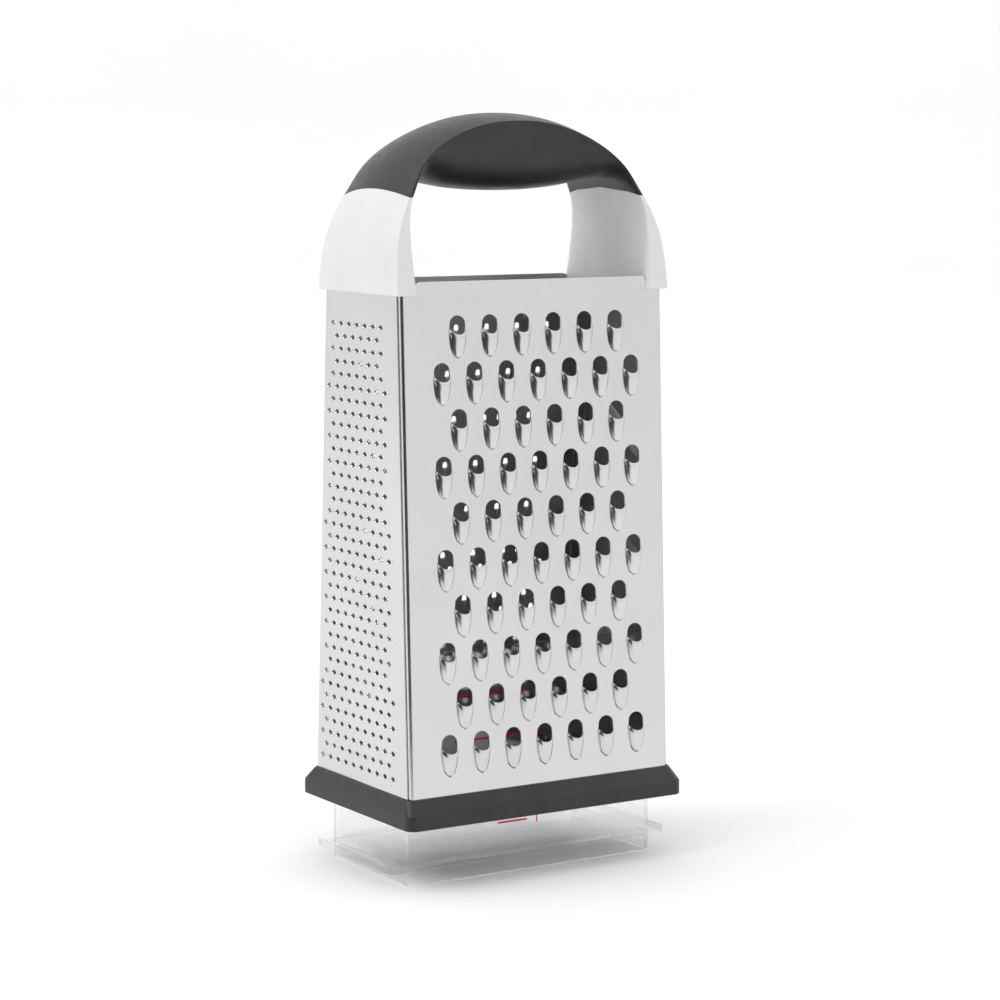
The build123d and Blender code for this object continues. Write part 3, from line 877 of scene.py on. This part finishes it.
def scale_marks():
    """Red measuring scale on the container's front wall.

    Every second tick has a number. Those are long, but for the lowest.
    """
    marks = bmesh.new()
    for k in range(SCALE_TICKS):
        z, numbered = SCALE_LOW_Z + SCALE_STEP * k, k % 2 == 0
        start = LONG_TICK if numbered and k else SHORT_TICK
        tick = bmesh.ops.create_grid(marks, x_segments=1, y_segments=1, size=0.5)["verts"]
        bmesh.ops.scale(marks, vec=(TICK_END - start, TICK_HEIGHT, 1.0), verts=tick)
        bmesh.ops.translate(marks, vec=((start + TICK_END) / 2, z, 0.0), verts=tick)
        if numbered:
            scale_figure(marks, k // 2 + 1, z)
    bmesh.ops.rotate(marks, matrix=Matrix.Rotation(pi / 2, 3, "X"), verts=marks.verts)
    bmesh.ops.translate(marks, vec=(0.0, -WALL_Y - PRINT_STANDS_OUT, 0.0), verts=marks.verts)
    piece("scale_marks", marks, red, "catch", "clear_plastic")


foot_ring()
catch_container()
tray_lid()
scale_marks()


# Stage: pale floor, soft studio light, camera

CAMERA_PLACE, LENS, SENSOR = (-0.5600, -0.8734, 0.2611), 104.66, 36.0
CAMERA_RIGHT, CAMERA_UP = (0.84090, -0.54117, 0.00466), (0.06402, 0.10802, 0.99209)
FLOOR_LINE = ((0.0, 0.0), (2.4, 0.0), (2.9, 0.08), (3.25, 0.3), (3.45, 0.65), (3.5, 1.1))
FULL_TURN, FLOOR_STEPS, FLOOR_TOUCHING = 360.0, 64, 0.001
SCREEN_REACH, SCREEN_LOW, SCREEN_HIGH = 0.82, 0.002, 0.62
CARD_REACH, CARD_HEIGHT = (0.30, 0.82), 0.001
SCREEN_SWING, CARD_SWING = (-3.0, -72.0, 24), (-12.0, -62.0, 16)    # start, sweep, steps
LIGHT_PLACE, LIGHT_AIM, LIGHT_SIZE, LIGHT_POWER = (-1.2, 0.2, 1.6), (0.0, 0.0, 0.12), 1.2, 10.0
SKY_STRENGTH = 1.1


def camera():
    made = bpy.data.objects.new("photo_camera", bpy.data.cameras.new("photo_camera"))
    made.data.lens = LENS
    made.data.sensor_width = SENSOR
    made.matrix_world = Matrix.Translation(CAMERA_PLACE) @ upright(CAMERA_RIGHT, CAMERA_UP)
    scene.collection.objects.link(made)
    scene.camera = made


def stage_piece(name, mesh, material):
    data = bpy.data.meshes.new(name)
    mesh.to_mesh(data)
    mesh.free()
    data.shade_smooth()
    data.materials.append(material)
    made = bpy.data.objects.new(name, data)
    scene.collection.objects.link(made)
    return made


def swung(line, start, sweep, steps):
    """A line of points swung round the upright axis; start and sweep are in degrees."""
    mesh = bmesh.new()
    verts = [mesh.verts.new(point) for point in line]
    edges = [mesh.edges.new(pair) for pair in zip(verts, verts[1:])]
    bmesh.ops.rotate(mesh, matrix=Matrix.Rotation(radians(start), 3, "Z"), verts=verts)
    bmesh.ops.spin(
        mesh, geom=verts + edges, cent=(0.0, 0.0, 0.0), axis=UP, angle=radians(sweep),
        steps=steps, use_merge=sweep == FULL_TURN, use_duplicate=False,
    )
    return mesh


def pale_floor():
    """A wide pale floor whose rim curves up all round."""
    sweep = swung([(x, 0.0, z) for x, z in FLOOR_LINE], 0.0, FULL_TURN, FLOOR_STEPS)
    bmesh.ops.remove_doubles(sweep, verts=sweep.verts, dist=FLOOR_TOUCHING)
    face_outwards(sweep)
    paper = finish("pale_paper", 0.8, Specular_IOR_Level=0.2)
    vary_colour(paper, surface_noise(paper, 2.0), (0.90, 0.90, 0.915), (0.92, 0.92, 0.932))
    stage_piece("pale_floor", sweep, paper)


def dark_screen():
    """A dark curved screen and a low card at the front left, seen only in reflections.

    The screen is the dark line in the steel's bends, the card the dark flanks of the hoods.
    """
    line = [(0.0, -SCREEN_REACH, SCREEN_LOW), (0.0, -SCREEN_REACH, SCREEN_HIGH)]
    screen = swung(line, *SCREEN_SWING)
    card = swung([(0.0, -reach, CARD_HEIGHT) for reach in CARD_REACH], *CARD_SWING)
    cloth = finish("dark_cloth", 0.9, Specular_IOR_Level=0.0)
    drift = surface_noise(cloth, 20.0)
    vary_colour(cloth, drift, (0.035, 0.035, 0.035), (0.045, 0.045, 0.045))
    for name, mesh in (("dark_screen", screen), ("dark_card", card)):
        made = stage_piece(name, mesh, cloth)
        made.visible_camera = False
        made.visible_transmission = False
        made.visible_shadow = False
        made.visible_diffuse = False


def studio():
    """Even white surroundings and one large soft light from the left."""
    world = bpy.data.worlds.new("studio")
    world.use_nodes = True
    surroundings = world.node_tree.nodes["Background"]
    surroundings.inputs["Color"].default_value = (1.0, 1.0, 1.0, 1.0)
    surroundings.inputs["Strength"].default_value = SKY_STRENGTH
    scene.world = world
    scene.view_settings.view_transform = "Standard"
    light = bpy.data.objects.new("key_light", bpy.data.lights.new("key_light", "AREA"))
    light.data.shape = "RECTANGLE"
    light.data.size, light.data.size_y, light.data.energy = LIGHT_SIZE, LIGHT_SIZE, LIGHT_POWER
    light.location = LIGHT_PLACE
    beam = Vector(LIGHT_AIM) - Vector(LIGHT_PLACE)
    light.rotation_euler = beam.to_track_quat("-Z", "Y").to_euler()
    scene.collection.objects.link(light)


camera()
pale_floor()
dark_screen()
studio()
